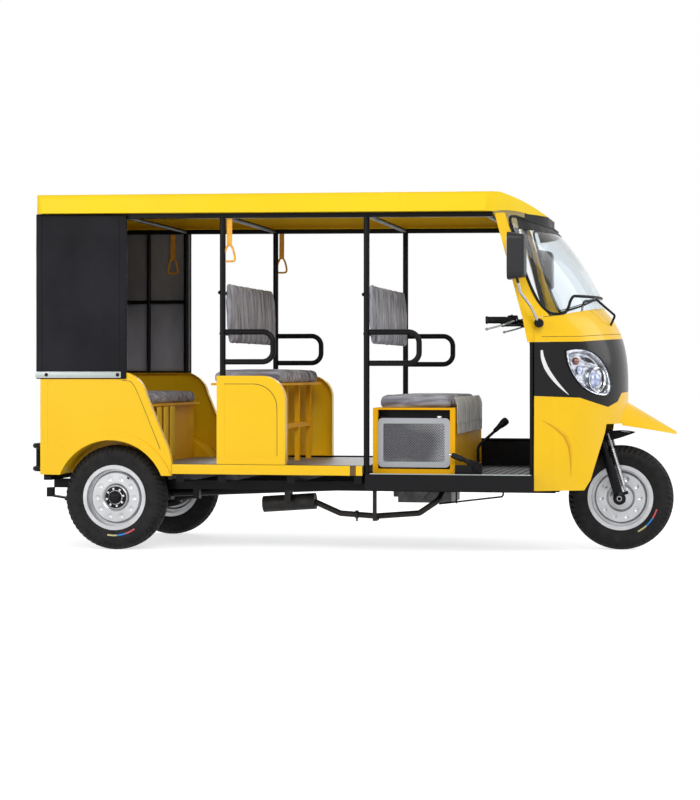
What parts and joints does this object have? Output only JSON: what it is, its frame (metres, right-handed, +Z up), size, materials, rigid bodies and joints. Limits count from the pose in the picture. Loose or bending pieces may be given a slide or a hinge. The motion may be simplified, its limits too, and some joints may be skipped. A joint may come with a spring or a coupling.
{
  "type": "auto rickshaw",
  "caption": "Passenger auto rickshaw with three rows of seats, a steered front wheel, a bubble windscreen, a hard roof and rear curtains.",
  "frame": {"origin": "on the ground, in the middle of the vehicle's length and width", "axes": "+X forward, +Y to the vehicle's left, +Z up"},
  "size_m": [3.322, 1.55, 1.8497],
  "materials": {
    "yellow_paint": "gloss",
    "black_frame": "satin",
    "black_plastic": "satin",
    "floor_plate": "chequered",
    "tyre_rubber": "matt",
    "silver_rim": "silver paint",
    "plush_fabric": "gathered plush",
    "curtain_vinyl": "coated cloth",
    "clear_glass": "clear",
    "lamp_lens": "clear",
    "red_lens": "gloss",
    "engine_alloy": "cast",
    "exhaust_steel": "heat-proof matt",
    "strap_webbing": "moulded"
  },
  "bodies": {
    "chassis": {"a_pillars": "yellow_paint", "armrests": "black_frame", "backrest_frames": "black_frame", "brake_rod": "black_frame", "cab_frame": "black_frame", "cab_skirts": "black_plastic", "canopy_frame": "black_frame", "chassis_frame": "black_frame", "dash_panel": "black_plastic", "driver_backrest": "plush_fabric", "driver_controls": "black_plastic", "driver_cushion": "plush_fabric", "driver_seat_box": "yellow_paint", "engine": "engine_alloy", "exhaust": "exhaust_steel", "floor_deck": "floor_plate", "front_apron": "yellow_paint", "front_cowl": "yellow_paint", "front_mudguard": "yellow_paint", "grab_straps": "strap_webbing", "headlamps": "lamp_lens", "lamp_mask": "black_plastic", "leaf_springs": "black_frame", "mid_panels": "yellow_paint", "middle_backrest": "plush_fabric", "middle_cushion": "plush_fabric", "middle_seat_base": "yellow_paint", "mirrors": "black_plastic", "radiator": "engine_alloy", "rear_axle": "black_frame", "rear_backrest": "plush_fabric", "rear_bumper": "black_frame", "rear_curtain": "curtain_vinyl", "rear_cushion": "plush_fabric", "rear_panel": "yellow_paint", "rear_quarter_left": "yellow_paint", "rear_quarter_right": "yellow_paint", "rear_seat_base": "yellow_paint", "roof_cap": "yellow_paint", "roof_panel": "yellow_paint", "side_board": "black_frame", "side_curtains": "curtain_vinyl", "side_sills": "yellow_paint", "steering_head": "black_frame", "tail_lamps": "red_lens", "windscreen": "clear_glass", "wiper": "black_frame"},
    "steering_fork": {"fork": "black_frame", "fork_struts": "silver_rim", "fork_guard": "black_frame", "handlebar": "black_frame"},
    "rear_right_wheel": {"tyre_rear_right": "tyre_rubber", "rim_rear_right": "silver_rim"},
    "rear_left_wheel": {"tyre_rear_left": "tyre_rubber", "rim_rear_left": "silver_rim"},
    "front_wheel": {"tyre_front": "tyre_rubber", "rim_front": "silver_rim"}
  },
  "joints": [
    {"name": "steering", "type": "hinge", "parent": "chassis", "child": "steering_fork", "pos_m": [1.33775, 0, 0.25831], "axis": [-0.2924, 0, 0.9563], "range_deg": [-35, 35]},
    {"name": "front_wheel_spin", "type": "hinge", "parent": "steering_fork", "child": "front_wheel", "pos_m": [1.376, 0, 0.27], "axis": [0, 1, 0], "continuous": true},
    {"name": "rear_right_wheel_spin", "type": "hinge", "parent": "chassis", "child": "rear_right_wheel", "pos_m": [-1.186, -0.505, 0.27], "axis": [0, 1, 0], "continuous": true},
    {"name": "rear_left_wheel_spin", "type": "hinge", "parent": "chassis", "child": "rear_left_wheel", "pos_m": [-1.186, 0.505, 0.27], "axis": [0, 1, 0], "continuous": true}
  ]
}
